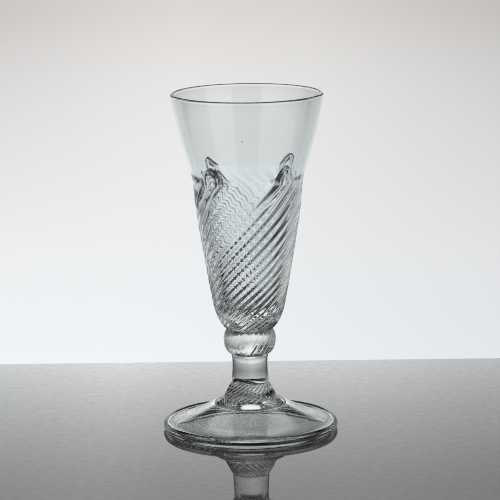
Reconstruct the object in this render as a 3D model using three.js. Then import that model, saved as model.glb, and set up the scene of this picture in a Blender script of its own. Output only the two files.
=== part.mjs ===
// Dwarf ale glass with a wrythen bowl: a short-stemmed drinking glass of the eighteenth-century English
// form. It is blown and worked hot from a few pieces of glass that are fused where they touch: the bowl,
// the ribbed and twisted second gather round its lower part with four flame-shaped points on its edge, a
// ribbed knop, a plain stem, a ribbed collar, a conical foot, the foot's edge folded under, and the scar
// that the pontil rod left. Millimetres, +Z up, origin on the table at the centre of the foot. Azimuth 0 is
// the front, -Y, and azimuths grow counter-clockwise seen from above, so the ribs of this glass rise
// towards growing azimuths.
import * as THREE from "three";

// Ribbing
const RIB_COUNT = 26;
const STEPS_PER_RIB = 4;
const RIB_ROUNDNESS = 0.8;

// Foot
const FOOT_RADIUS = 33.6;
const FOOT_HOLLOW = 9.2;
const FOOT_CROWN = 3.2;
const FOOT_WALL = 1.75;
const FOOT_EDGE_THICKNESS = 1.6;
const FOOT_VALLEY_WIDTH = 2.3;
const FOOT_VALLEY_DEPTH = 0.15;
const FOOT_EDGE_RUN = 6.6;
const FOOT_EDGE_RISE = 1.45;
const FOOT_CROWN_RUN = 4.8;
const FOOT_CROWN_FALL = 2.4;
const HOLLOW_FLAT = 12.4;

// Folded edge of the foot
const FOLD_WIDTH = 4.4;
const FOLD_THICKNESS = 1.7;
const FOLD_AIR_LINE = 0.3;
const FOLD_SEAL_WIDTH = 0.8;
const FOLD_REST_WIDTH = 2;

// Pontil scar
const PONTIL_RADIUS = 6.2;
const PONTIL_DEPTH = 0.9;
const PONTIL_RAGGEDNESS = 0.35;

// Collar
const COLLAR_HEIGHT = 6;
const COLLAR_RADIUS = 10.2;
const COLLAR_BEND_OUT = 1.55;
const COLLAR_BEND_DOWN = 2.2;
const COLLAR_RIB_DEPTH = 0.4;
const COLLAR_RIB_FADE = 1.5;
const COLLAR_TWIST = 9;

// Stem
const STEM_LENGTH = 11.1;
const STEM_RADIUS = 6.75;
const STEM_WAIST = 0.12;

// Knop
const KNOP_RADIUS = 10.05;
const KNOP_BELOW = 5.65;
const KNOP_ABOVE = 4.15;
const KNOP_NECK_RADIUS = 8.8;
const KNOP_STEP = 0.25;
const KNOP_FULLNESS_BELOW = 0.77;
const KNOP_FULLNESS_ABOVE = 0.56;
const KNOP_RIBBED_SIDE = 55;
const KNOP_RIBBED_REACH = 60;
const KNOP_RIB_EASE = 25;
const KNOP_WORN_SHARE = 0.15;
const KNOP_RIB_DEPTH = 0.35;
const KNOP_RIB_FADE = 2;
const KNOP_TWIST = 3.3;

// Second gather: the ribbed and twisted cup
const GATHER_CUP_HEIGHT = 10.8;
const GATHER_CUP_RADIUS = 14;
const GATHER_CUP_BEND_OUT = 3.8;
const GATHER_CUP_BEND_UP = 2.9;
const GATHER_SIDE_HEIGHT = 47.5;
const GATHER_RADIUS = 21.6;
const GATHER_BELLY = 0.7;
const GATHER_RIB_DEPTH = 0.6;
const GATHER_RIB_FADE = 11;
const GATHER_WALL = 1.2;
const GATHER_FLOOR = 4.3;
const GATHER_TWIST = 2.3;
const GATHER_TWIST_TIGHTENING = 1.6;
const GATHER_EDGE_RISE = 2.4;
const GATHER_EDGE_WALL = 0.6;
const GATHER_LIP = 0.25;

// Flame points on the gather's edge. Each has the azimuth of its tip, its height above the edge between the
// points, how far it stands out, and how far it runs to each side in degrees.
const FLAMES = [
  { tip: -37, height: 4.4, relief: 1.4, before: 11.5, after: 11.5 },
  { tip: 37.5, height: 5.1, relief: 1.4, before: 9.5, after: 5.5 },
  { tip: 131, height: 4.6, relief: 1.1, before: 6, after: 12.7 },
  { tip: 224, height: 3.5, relief: 1.1, before: 11.5, after: 5.5 },
];
const FLAME_ROUNDNESS = 2;
const FLAME_ROOT = 10;

// Bowl
const BOWL_RISE = 32.5;
const RIM_RADIUS = 28.9;
const RIM_WALL = 1;
const SHOULDER_ANGLE = 16.7;
const SHOULDER_ABOVE_FLAMES = 1;
const SHOULDER_WALL = 1.25;
const BOWL_CUP_RISE = 7.5;
const BOWL_CUP_WALL = 1.6;
const BOWL_FLOOR = 2.9;

// Facets
const RIBBED_SIDES = RIB_COUNT * STEPS_PER_RIB;
const PLAIN_SIDES = RIBBED_SIDES / 2;

// The ribs stand this far past the front, in radians: one facet.
const RIB_PHASE = (2 * Math.PI) / RIBBED_SIDES;

// Heights of the joints, from the table up
const FOLD_SEAM = FOLD_THICKNESS + FOLD_AIR_LINE;
const FOOT_EDGE = FOLD_SEAM + FOOT_EDGE_THICKNESS;
const FOOT_TOP = FOOT_HOLLOW + FOOT_CROWN;
const COLLAR_TOP = FOOT_TOP + COLLAR_HEIGHT;
const STEM_TOP = COLLAR_TOP + STEM_LENGTH;
const KNOP_MIDDLE = STEM_TOP + KNOP_BELOW;
const NECK = KNOP_MIDDLE + KNOP_ABOVE;
const CUP_TOP = NECK + GATHER_CUP_HEIGHT;
const SHOULDER = CUP_TOP + GATHER_SIDE_HEIGHT;
const RIM = SHOULDER + BOWL_RISE;

// Radii that follow from the pieces that they fit
const NOSE_RADIUS = FOOT_RADIUS - FOOT_EDGE / 2;
const FOLD_INNER = FOOT_RADIUS - FOLD_WIDTH;
const SHOULDER_RADIUS = GATHER_RADIUS - GATHER_EDGE_WALL;
const BOWL_CUP_RADIUS = GATHER_CUP_RADIUS - GATHER_RIB_DEPTH - GATHER_WALL;

const point = (radius, z) => new THREE.Vector2(radius, z);
const radians = THREE.MathUtils.degToRad;

// A point in cylinder coordinates.
function at(radius, azimuth, z) {
  return new THREE.Vector3(
    radius * Math.sin(azimuth),
    -radius * Math.cos(azimuth),
    z,
  );
}

// Points along a curve from start to end that leaves start, and reaches end, along its line to bend.
function bent(start, bend, end, steps) {
  return new THREE.QuadraticBezierCurve(start, bend, end).getPoints(steps);
}

// Points on the round about (radius, z), from one angle to the other in degrees.
function arc(radius, z, size, from, to, steps) {
  return Array.from({ length: steps + 1 }, (_, i) => {
    const angle = radians(from + ((to - from) * i) / steps);
    return point(radius + size * Math.cos(angle), z + size * Math.sin(angle));
  });
}

// The radius at height z of a profile whose points rise.
function radiusOn(profile, z) {
  const k = profile.findIndex((p, i) => i > 0 && (p.y >= z || i === profile.length - 1));
  const [a, b] = [profile[k - 1], profile[k]];
  return a.x + ((b.x - a.x) * (z - a.y)) / (b.y - a.y);
}

// A plain turned solid. The profile's x is the radius and its y the height.
function turned(profile) {
  return new THREE.LatheGeometry(profile, PLAIN_SIDES).rotateX(Math.PI / 2);
}

// One turn of points that starts at azimuth turn. radiusAt and heightAt take each point's azimuth.
function ring(sides, turn, radiusAt, heightAt) {
  return Array.from({ length: sides }, (_, i) => {
    const azimuth = (2 * Math.PI * i) / sides + turn;
    return at(radiusAt(azimuth), azimuth, heightAt(azimuth));
  });
}

function plainRing(radius, z) {
  return ring(
    PLAIN_SIDES,
    0,
    () => radius,
    () => z,
  );
}

// A rib's height over the valleys beside it, from 0 to 1: a round ridge between narrow valleys.
function ribAt(azimuth) {
  return Math.abs(Math.cos((RIB_COUNT * (azimuth - RIB_PHASE)) / 2)) ** RIB_ROUNDNESS;
}

// How many degrees an azimuth in radians is past a middle in degrees, from -180 to 180.
function degreesPast(azimuth, middle) {
  return THREE.MathUtils.euclideanModulo(THREE.MathUtils.radToDeg(azimuth) - middle + 180, 360) - 180;
}

// A ring of wrythen surface, whose ribs have turned by turn since the ring where they start. The ribs'
// depth may depend on the azimuth.
function ribbedRing(radius, z, depthAt, turn) {
  return ring(
    RIBBED_SIDES,
    turn,
    (azimuth) => radius - depthAt(azimuth) * (1 - ribAt(azimuth - turn)),
    () => z,
  );
}

// The triangles between two neighbouring rings. One of them may be a point on the axis, or have half the
// points.
function between(lower, upper) {
  const faces = [];
  const n = Math.max(lower.length, upper.length);
  const pick = (points, k) => points[Math.floor(((k % n) * points.length) / n)];
  for (let i = 0; i < n; i++) {
    const [low, lowNext] = [pick(lower, i), pick(lower, i + 1)];
    const [high, highNext] = [pick(upper, i), pick(upper, i + 1)];
    if (low !== lowNext) faces.push(low, lowNext, highNext);
    if (high !== highNext) faces.push(low, highNext, high);
  }
  return faces;
}

// A closed solid from rings, listed from its underside's centre, up its outside and back to the axis.
function solidOfRings(rings) {
  let count = 0;
  const numbered = rings.map((points) => points.map(() => count++));
  const index = numbered.slice(1).flatMap((upper, i) => between(numbered[i], upper));
  const geometry = new THREE.BufferGeometry().setFromPoints(rings.flat());
  geometry.setIndex(index);
  geometry.computeVertexNormals();
  return geometry;
}

// The foot: a thin cone of glass, thick only in the crown under the collar, with a shallow valley beside
// the bead of its edge.
function foot() {
  const valley = point(NOSE_RADIUS - FOOT_VALLEY_WIDTH, FOOT_EDGE - FOOT_VALLEY_DEPTH);
  const slope = new THREE.CubicBezierCurve(
    valley,
    point(valley.x - FOOT_EDGE_RUN, valley.y + FOOT_EDGE_RISE),
    point(COLLAR_RADIUS + FOOT_CROWN_RUN, FOOT_TOP - FOOT_CROWN_FALL),
    point(COLLAR_RADIUS, FOOT_TOP),
  ).getPoints(6);
  const hollow = slope
    .filter((p) => p.x > HOLLOW_FLAT && p.x < valley.x)
    .map((p) => point(p.x, p.y - FOOT_WALL))
    .reverse();
  return turned([
    point(0, FOOT_HOLLOW),
    point(HOLLOW_FLAT, FOOT_HOLLOW),
    ...hollow,
    point(FOLD_INNER, FOLD_SEAM),
    point(NOSE_RADIUS, FOLD_SEAM),
    point(NOSE_RADIUS, FOOT_EDGE),
    ...slope,
    point(0, FOOT_TOP),
  ]);
}

// The foot's edge, rolled over and turned under. It is one with the foot at the nose and sealed to it along
// its inner edge. A thin line of air is trapped between the two layers. The glass rests on the flat worn
// under the roll.
function footFold() {
  const round = FOOT_EDGE / 2;
  const rest = NOSE_RADIUS + round / 2;
  const lip = FOLD_THICKNESS / 2;
  return turned([
    point(rest - FOLD_REST_WIDTH, 0),
    point(rest, 0),
    ...arc(NOSE_RADIUS, round, round, -40, 90, 5),
    point(NOSE_RADIUS, FOLD_SEAM),
    point(NOSE_RADIUS - FOLD_AIR_LINE, FOLD_THICKNESS),
    point(FOLD_INNER + lip + FOLD_SEAL_WIDTH, FOLD_THICKNESS),
    point(FOLD_INNER + lip + FOLD_SEAL_WIDTH / 2, FOLD_SEAM),
    point(FOLD_INNER + lip / 2, FOLD_SEAM),
    ...arc(FOLD_INNER + lip, lip, lip, 160, 230, 2),
    point(rest - FOLD_REST_WIDTH, 0),
  ]);
}

// The rough stub left where the pontil rod was snapped off, under the foot's crown.
function pontilMark() {
  const ragged = (azimuth) => Math.sin(3 * azimuth + 1) + Math.sin(7 * azimuth) / 2;
  const scar = (radius, depth) =>
    ring(
      RIB_COUNT,
      0,
      (azimuth) => radius - PONTIL_RAGGEDNESS * (1.5 + ragged(azimuth)),
      (azimuth) => FOOT_HOLLOW - depth * (1 - (PONTIL_RAGGEDNESS * ragged(azimuth)) / 2),
    );
  return solidOfRings([
    [at(0, 0, FOOT_HOLLOW - PONTIL_DEPTH / 3)],
    scar(PONTIL_RADIUS / 2, PONTIL_DEPTH / 2),
    scar((PONTIL_RADIUS * 3) / 4, PONTIL_DEPTH),
    scar(PONTIL_RADIUS, PONTIL_DEPTH / 2),
    scar(PONTIL_RADIUS, 0),
    [at(0, 0, FOOT_HOLLOW)],
  ]);
}

// The ribbed collar that flares from the stem on to the foot.
function collar() {
  const flare = bent(
    point(COLLAR_RADIUS, FOOT_TOP),
    point(STEM_RADIUS + COLLAR_BEND_OUT, COLLAR_TOP - COLLAR_BEND_DOWN),
    point(STEM_RADIUS, COLLAR_TOP),
    5,
  );
  const rings = flare.map(({ x, y }) => {
    const fade = Math.min(1, (COLLAR_TOP - y) / COLLAR_RIB_FADE);
    return ribbedRing(x, y, () => COLLAR_RIB_DEPTH * fade, radians(COLLAR_TWIST * (y - FOOT_TOP)));
  });
  return solidOfRings([[at(0, 0, FOOT_TOP)], ...rings, [at(0, 0, COLLAR_TOP)]]);
}

function stem() {
  const side = bent(
    point(STEM_RADIUS, COLLAR_TOP),
    point(STEM_RADIUS - 2 * STEM_WAIST, (COLLAR_TOP + STEM_TOP) / 2),
    point(STEM_RADIUS + KNOP_STEP, STEM_TOP),
    2,
  );
  return turned([point(0, COLLAR_TOP), ...side, point(0, STEM_TOP)]);
}

// The knop's ribs are melted nearly flat but for its right front.
function knopWear(azimuth) {
  const away = Math.abs(degreesPast(azimuth, KNOP_RIBBED_SIDE));
  const kept = THREE.MathUtils.clamp((KNOP_RIBBED_REACH - away) / KNOP_RIB_EASE, 0, 1);
  return THREE.MathUtils.lerp(KNOP_WORN_SHARE, 1, kept);
}

function knop() {
  const lower = bent(
    point(STEM_RADIUS + KNOP_STEP, STEM_TOP),
    point(KNOP_RADIUS, KNOP_MIDDLE - KNOP_BELOW * KNOP_FULLNESS_BELOW),
    point(KNOP_RADIUS, KNOP_MIDDLE),
    4,
  );
  const upper = bent(
    point(KNOP_RADIUS, KNOP_MIDDLE),
    point(KNOP_RADIUS, KNOP_MIDDLE + KNOP_ABOVE * KNOP_FULLNESS_ABOVE),
    point(KNOP_NECK_RADIUS, NECK),
    3,
  );
  const rings = [...lower, ...upper.slice(1)].map(({ x, y }) => {
    const depth = KNOP_RIB_DEPTH * Math.min(1, (y - STEM_TOP) / KNOP_RIB_FADE);
    return ribbedRing(x, y, (azimuth) => depth * knopWear(azimuth), radians(KNOP_TWIST * (y - STEM_TOP)));
  });
  return solidOfRings([[at(0, 0, STEM_TOP)], ...rings, [at(0, 0, NECK)]]);
}

// The bowl's outside where the gather covers it: its round bottom, its straight side, and the cone of its
// shoulder, which reaches past the flame points.
function bowlSeat() {
  const bottom = NECK + GATHER_FLOOR;
  const cup = point(BOWL_CUP_RADIUS, bottom + BOWL_CUP_RISE);
  const tallest = Math.max(...FLAMES.map((flame) => flame.height));
  const rise = GATHER_EDGE_RISE + tallest + SHOULDER_ABOVE_FLAMES;
  return [
    ...bent(point(0, bottom), point(BOWL_CUP_RADIUS, bottom), cup, 4),
    point(SHOULDER_RADIUS, SHOULDER),
    point(SHOULDER_RADIUS + rise * Math.tan(radians(SHOULDER_ANGLE)), SHOULDER + rise),
  ];
}

function bowl() {
  const seat = bowlSeat();
  const cone = seat.at(-1);
  const lip = RIM_WALL / 2;
  const rim = point(RIM_RADIUS, RIM - lip);
  const middle = (cone.y + rim.y) / 2;
  const bend = point(cone.x + (middle - cone.y) * Math.tan(radians(SHOULDER_ANGLE)), middle);
  const inwards = (p, wall) => point(p.x - wall, p.y);
  const inside = bent(
    inwards(rim, RIM_WALL),
    inwards(bend, (RIM_WALL + SHOULDER_WALL) / 2),
    inwards(cone, SHOULDER_WALL),
    4,
  );
  const floor = NECK + GATHER_FLOOR + BOWL_FLOOR;
  const cup = point(BOWL_CUP_RADIUS - BOWL_CUP_WALL, NECK + GATHER_FLOOR + BOWL_CUP_RISE);
  return turned([
    ...seat,
    ...bent(cone, bend, rim, 4).slice(1),
    ...arc(RIM_RADIUS - lip, RIM - lip, lip, 36, 144, 3),
    ...inside,
    point(SHOULDER_RADIUS - SHOULDER_WALL, SHOULDER),
    ...bent(cup, point(cup.x, floor), point(0, floor), 5),
  ]);
}

// The flame point at this azimuth: its height over the edge, and how far it stands out.
function flameAt(azimuth) {
  const points = FLAMES.map(({ tip, height, relief, before, after }) => {
    const past = degreesPast(azimuth, tip);
    const share = Math.abs(past) / (past < 0 ? before : after);
    const fullness = Math.max(0, 1 - share ** FLAME_ROUNDNESS);
    return { height: height * fullness, relief: relief * fullness };
  });
  return points.reduce((tallest, flame) => (flame.height > tallest.height ? flame : tallest));
}

// The gather's ridges, from the neck up to the shoulder.
function gatherOutline() {
  const neck = point(KNOP_NECK_RADIUS, NECK);
  const cup = point(GATHER_CUP_RADIUS, CUP_TOP);
  const shoulder = point(GATHER_RADIUS, SHOULDER);
  const cupBend = point(neck.x + GATHER_CUP_BEND_OUT, NECK + GATHER_CUP_BEND_UP);
  const sideBend = cup.clone().lerp(shoulder, 0.5);
  sideBend.x += GATHER_BELLY;
  return [...bent(neck, cupBend, cup, 6), ...bent(cup, sideBend, shoulder, 14).slice(1)];
}

// How far the ribs have turned at each point of the outline: 0 at the shoulder, and more steeply as it
// narrows.
function ribTurns(outline) {
  const turns = [0];
  for (let i = outline.length - 1; i > 0; i--) {
    const [low, high] = [outline[i - 1], outline[i]];
    const narrowing = GATHER_RADIUS / ((low.x + high.x) / 2);
    const rate = radians(GATHER_TWIST) * narrowing ** GATHER_TWIST_TIGHTENING;
    turns.unshift(turns[0] - rate * (high.y - low.y));
  }
  return turns;
}

// The second gather. Its ribs fade and its flame points swell out towards the shoulder. Above the shoulder
// it thins out on the bowl's cone, where its edge rises into the flame points.
function wrythenGather() {
  const outline = gatherOutline();
  const turns = ribTurns(outline);
  const ribbed = outline.map(({ x, y }, i) => {
    const depth = GATHER_RIB_DEPTH * Math.min(1, 0.3 + (SHOULDER - y) / GATHER_RIB_FADE);
    const root = Math.max(0, 1 - (SHOULDER - y) / FLAME_ROOT);
    const radiusAt = (azimuth) => x - depth * (1 - ribAt(azimuth)) + root * flameAt(azimuth).relief;
    return ring(
      RIBBED_SIDES,
      turns[i],
      (azimuth) => radiusAt(azimuth - turns[i]),
      () => y,
    );
  });
  const seat = bowlSeat();
  const edge = (share, sides, wall, reliefShare) => {
    const heightAt = (azimuth) => SHOULDER + share * (GATHER_EDGE_RISE + flameAt(azimuth).height);
    return ring(
      sides,
      0,
      (azimuth) => radiusOn(seat, heightAt(azimuth)) + wall + reliefShare * flameAt(azimuth).relief,
      heightAt,
    );
  };
  return solidOfRings([
    [at(0, 0, NECK)],
    ...ribbed,
    edge(0.4, RIBBED_SIDES, (GATHER_EDGE_WALL + GATHER_LIP) / 2, 1),
    edge(0.8, RIBBED_SIDES, GATHER_LIP, 0.8),
    edge(1, RIBBED_SIDES, GATHER_LIP, 0),
    edge(1, PLAIN_SIDES, 0, 0),
    ...seat.slice(1, -1).reverse().map((p) => plainRing(p.x, p.y)),
    [at(0, 0, seat[0].y)],
  ]);
}

// Clear glass. The colour is its tint in the photograph's light.
function glass(color, roughness = 0.05) {
  return new THREE.MeshPhysicalMaterial({
    color,
    roughness,
    metalness: 0,
    transmission: 0.95,
    ior: 1.54,
    transparent: true,
    opacity: 0.4,
  });
}

function piece(name, geometry, material) {
  const mesh = new THREE.Mesh(geometry, material);
  mesh.name = name;
  return mesh;
}

const aleGlass = new THREE.Group();
aleGlass.add(
  piece("bowl", bowl(), glass(0xd9e0e0)),
  piece("wrythen_gather", wrythenGather(), glass(0xc8cecd)),
  piece("knop", knop(), glass(0xd2d8d7)),
  piece("stem", stem(), glass(0xc6cbca)),
  piece("collar", collar(), glass(0xb4b9b8)),
  piece("foot", foot(), glass(0xbdc3c2)),
  piece("foot_fold", footFold(), glass(0x9fa3a0)),
  piece("pontil_mark", pontilMark(), glass(0xb9bdbb, 0.5)),
);

export default aleGlass;
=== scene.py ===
"""Dwarf ale glass with a wrythen bowl, on a grey gloss table in front of a white backdrop.

Each piece of the glass is a closed mesh of its own, made from rings. Where two pieces are fused they share
one surface, and both meshes carry a clear material there, so that light passes from piece to piece as in
one body of glass. The pieces' lengths are in millimetres until a mesh is made, and the table's and the
camera's are in metres. Azimuth 0 is the front, -Y, and azimuths grow counter-clockwise seen from above.
"""

import math

import bpy
import numpy as np
from mathutils import Matrix, Vector


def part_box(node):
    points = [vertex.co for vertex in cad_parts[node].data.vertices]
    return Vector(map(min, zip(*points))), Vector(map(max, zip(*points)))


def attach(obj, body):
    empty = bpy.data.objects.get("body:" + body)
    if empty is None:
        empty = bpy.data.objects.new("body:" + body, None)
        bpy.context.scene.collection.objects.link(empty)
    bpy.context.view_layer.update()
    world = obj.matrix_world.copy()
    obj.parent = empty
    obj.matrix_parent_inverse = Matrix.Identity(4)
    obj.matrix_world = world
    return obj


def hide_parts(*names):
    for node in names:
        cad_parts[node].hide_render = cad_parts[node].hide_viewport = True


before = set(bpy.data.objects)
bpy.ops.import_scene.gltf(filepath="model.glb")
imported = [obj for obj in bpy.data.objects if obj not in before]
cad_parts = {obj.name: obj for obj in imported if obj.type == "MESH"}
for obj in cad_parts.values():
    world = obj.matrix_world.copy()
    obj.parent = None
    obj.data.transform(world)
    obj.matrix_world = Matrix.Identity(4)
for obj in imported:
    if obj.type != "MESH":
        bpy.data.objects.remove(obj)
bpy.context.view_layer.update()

MM = 0.001


def low(node):
    """The height of a CAD node's underside, in millimetres."""
    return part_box(node)[0].z / MM


def top(node):
    """The height of a CAD node's top, in millimetres."""
    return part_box(node)[1].z / MM


def reach(node):
    """A CAD node's outside radius, in millimetres."""
    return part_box(node)[1].x / MM


# Heights of the joints
FOLD_SEAM = low("foot")
FOOT_EDGE = top("foot_fold")
FOOT_TOP = low("collar")
COLLAR_TOP = low("stem")
STEM_TOP = low("knop")
NECK = top("knop")
SCAR = top("pontil_mark")
CREST = top("wrythen_gather")
RIM = top("bowl")

# Radii that the frame gives
STEM_RADIUS = reach("stem")
NOSE_RADIUS = reach("foot")
RIM_RADIUS = reach("bowl")

# Ribbing
RIB_COUNT = 26
STEPS_PER_RIB = 16
SIDES = RIB_COUNT * STEPS_PER_RIB
RIB_PHASE = math.radians(360 / RIB_COUNT / 4)
AZIMUTHS = np.arange(SIDES) * 2 * math.pi / SIDES

# Meshes: edges that are sharper than this stay sharp
SHARP_ANGLE = math.radians(38)

# Foot: a thin cone between the crown under the collar and the valley beside the bead. Its wall thins over
# the taper at the edge
FOOT_EDGE_RUN = 6.6
FOOT_EDGE_RISE = 1.45
FOOT_CROWN_RUN = 4.8
FOOT_CROWN_FALL = 2.4
FOOT_VALLEY_WIDTH = 2.3
FOOT_VALLEY_DEPTH = 0.15
FOOT_WALL = 1.75
FOOT_EDGE_WALL = 1.5
FOOT_EDGE_TAPER = 6

# Bead at the foot's edge: its two bends as shares of the valley's width, and how many valley depths the
# second bend lies under the top
BEAD_BENDS = (0.4, 0.56)
BEAD_DROP = 3

# Hollow under the foot: flat round the pontil scar, to this radius at least, with a soft bend into the slope
HOLLOW_FLAT = 7
HOLLOW_BEND = 0.15

# Folded edge of the foot
FOLD_WIDTH = 4.4
FOLD_THICKNESS = 1.7
FOLD_AIR_LINE = FOLD_SEAM - FOLD_THICKNESS
FOLD_SEAL_WIDTH = 0.8
FOLD_REST_WIDTH = 2
FOLD_INNER = NOSE_RADIUS + FOOT_EDGE / 2 - FOLD_WIDTH

# Pontil scar
PONTIL_RADIUS = 6.2
PONTIL_DEPTH = 0.9
PONTIL_RAGGEDNESS = 0.35

# Collar
COLLAR_RADIUS = 10.2
COLLAR_BEND_OUT = 1.55
COLLAR_BEND_DOWN = 2.2
COLLAR_RIB_DEPTH = 0.4
COLLAR_RIB_FADE = 1.5
COLLAR_TWIST = math.radians(9)

# Stem: how far the bends of its profile pull it out and in, and where along it they are
STEM_SWELL, STEM_SWELL_AT = 0.2, 0.25
STEM_WAIST, STEM_WAIST_AT = 0.6, 0.6

# Knop: its ribs are whole up to the first number of degrees from the ribbed side, and worn from the second
KNOP_RADIUS = 10.05
KNOP_MIDDLE = STEM_TOP + 5.65
KNOP_NECK_RADIUS = 8.8
KNOP_TUCK = 0.15
KNOP_FULLNESS_BELOW = 0.77
KNOP_FULLNESS_ABOVE = 0.56
KNOP_RIB_DEPTH = 0.7
KNOP_RIB_FADE = 2
KNOP_TWIST = math.radians(3.3)
KNOP_STEP = 0.25
KNOP_STEP_RISE = (0.15, 0.5, 1)
KNOP_RIBBED_SIDE = 50
KNOP_RIBBED_REACH = (35, 60)
KNOP_WORN_SHARE = 0.1

# Second gather: the ribbed and twisted cup. Its edge begins at the height of the shoulder
SHOULDER = 97.6
GATHER_CUP_HEIGHT = 10.8
GATHER_CUP_RADIUS = 14
GATHER_CUP_BEND_OUT = 3.8
GATHER_CUP_BEND_UP = 2.9
GATHER_RADIUS = 21.6
GATHER_BELLY = 0.7
GATHER_FLOOR = 4.3
GATHER_TWIST = math.radians(2.3)
GATHER_TWIST_TIGHTENING = 1.6
GATHER_EDGE_RISE = 2.4
GATHER_EDGE_THINNING = 1.6
GATHER_EDGE_STEPS = 22

# Ribs of the gather: they fade out under its edge, over more height at the front and back than at the
# sides. They are deeper at the right and low on the cup, and calmer at the front and back. A reach is two
# angles from such a place, or two heights: the whole change up to the first, none from the second
GATHER_RIB_DEPTH = 0.45
GATHER_RIB_FADE = 11
GATHER_SIDE_FADE = 3
GATHER_DEEP_SIDE = 62
GATHER_DEEP_REACH = (13.2, 35.2)
GATHER_DEEPENING = 0.8
GATHER_CALM = 0.4
GATHER_CALM_REACH = (12, 32)
GATHER_LOW = 0.25
GATHER_LOW_REACH = (48, 56)
GATHER_NECK_EASE = 3

# The gather thins towards its edge at these azimuths, between the flame points
GATHER_THINNING = 0.45
GATHER_THINNING_RUN = 16
GATHER_THINNING_AT = (0, 180, -86, 86)
GATHER_THINNING_REACH = (14, 34)

# Deep slots in the gather beside the left front flame point: azimuth and height of the middle
GATHER_SLOTS = ((-54.5, 93.2), (-67.2, 93.7))
SLOT_DEPTH = 0.7
SLOT_HALF_WIDTH = 2.2
SLOT_HALF_HEIGHT = 2.2

# Flame points on the gather's edge: azimuth of the tip, height above the edge between the flames, relief,
# and for the side before and the side after the tip how far it runs and how square its shoulder is
FLAMES = (
    (-37.0, 4.4, 1.4, (11.5, 2.0), (11.5, 2.6)),
    (37.5, 5.1, 1.4, (9.5, 1.6), (5.5, 5.0)),
    (131.0, 4.6, 1.1, (6.0, 5.0), (12.7, 2.1)),
    (224.0, 3.5, 1.1, (11.5, 1.1), (5.5, 4.0)),
)
FLAME_ROUND = 1.3
FLAME_DIP = 0.45
FLAME_DIP_WIDTH = 1.3
FLAME_ROOT = 10
FLAME_LIP_THINNING = 0.4

# Ribs at the flame points: their share of the whole depth at the edge, how much deeper they are under it
# and over what height, and how far the point's own relief calms them
FLAME_RIB_REACH = (9, 27)
FLAME_RIB_SHARE = 0.7
FLAME_RIB_GAIN = 0.4
FLAME_RIB_RUN = 14
FLAME_RIB_CALM = 0.5

# Bowl: its walls, from the rim down. The rim's inside leans by this share of the shoulder's slope
RIM_WALL = 1.45
RIM_BEAD = 1.55
RIM_BEAD_RUN = 1
RIM_LEAN = 0.8
SHOULDER_RADIUS = 21.0
SHOULDER_SLOPE = math.tan(math.radians(16.7))
SHOULDER_ABOVE_FLAMES = 1
SHOULDER_WALL = 1.25
BOWL_CUP_RADIUS = 12.2
BOWL_CUP_RISE = 7.5
BOWL_CUP_WALL = 1.6
BOWL_FLOOR = 2.9

# Seed: a small bubble in the bowl, as its middle and its radius
BOWL_SEED = (-1.8, -25.7, 115.2, 0.55)

# Fused joints: the shared surface stops this far inside both outlines. Bowl and gather share this many
# rings from the shoulder to the gather's crest
JOINT_MARGIN = 0.02
CREST_STEPS = 8

# Material slots on every piece
GLASS, FUSED = 0, 1

# Glass: its tints, and its surface. A noise is its scale per metre, its detail and how far it is squeezed
# along each axis, heights are in metres, and wear begins at one noise level and is whole at the other
GLASS_IOR = 1.54
BOWL_TINT = (0.95, 0.98, 0.98)
RIBBED_TINT = (0.955, 0.98, 0.98)
FOOT_TINT = (0.965, 0.98, 0.975)
SNAPPED_TINT = (0.9, 0.9, 0.9)
RIPPLE_NOISE, RIPPLE_HEIGHT = (90, 3), 0.0002
MARKS_NOISE, MARKS_HEIGHT = (55, 4, (1, 1, 14)), 0.00005
WEAR_NOISE, WEAR_FROM, WEAR_WHOLE = (1400, 3), 0.6, 0.72

# Table, in metres: painted shade darkens it round the glass, and it is pale far from it, as (distance, tone)
TABLE_FAR_EDGE, TABLE_NEAR_EDGE = 0.11, -2.2
TABLE_HALF_WIDTH = 2.0
TABLE_THICKNESS = 0.03
TABLE_PAINTED_SHADE = (0.13, 0.03)
TABLE_PALE = (0.36, 0.5)

# Gloss of the table: it grows towards low angles, and is a share of that which falls off towards the front
# and to both sides, with a lighter left side, grain and faint scratches. Smears are in its roughness. A
# range is from two places or noise levels to two shares or roughnesses
GLOSS_SMEARS_NOISE = (40, 5)
GLOSS_SMEARS = (0.35, 0.7, 0.02, 0.05)
GLOSS_ANGLE_POWER = 4
GLOSS_ANGLE_GAIN = 2
GLOSS_MOST = 0.85
GLOSS_FRONT, GLOSS_BACK = -0.09, 0.11
GLOSS_AT_FRONT, GLOSS_GAIN, GLOSS_GAIN_POWER = 0.44, 0.48, 1.3
GLOSS_SIDES = (0.03, 0.11, 1, 0.84)
GLOSS_LEFT = (-0.06, -0.025, 1.12, 1)
GLOSS_GRAIN_NOISE = (320, 6)
GLOSS_GRAIN = (0.3, 0.7, 0.95, 1.05)
GLOSS_SCRATCHES_NOISE = (9, 2, (6, 60, 1))
GLOSS_SCRATCHES = (0.66, 0.7, 1, 0.95)

# Studio: how bright the screens are round the glass, as (degrees, level) stops. Azimuths are from straight
# behind the glass towards the right
SCREEN_ROUND = (
    (-158, 0), (-154, 0.75), (-84, 0.75), (-78, 0.02), (-64, 0.02), (-56, 0.5), (-45, 0.64), (-30, 0.78),
    (-18, 0.92), (-8, 1), (-2, 1), (2, 0.94), (8, 0.85), (20, 0.78), (30, 0.68), (45, 0.54), (58, 0.4),
    (64, 0.02), (108, 0.02), (113, 0.75), (154, 0.75), (158, 0),
)

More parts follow.
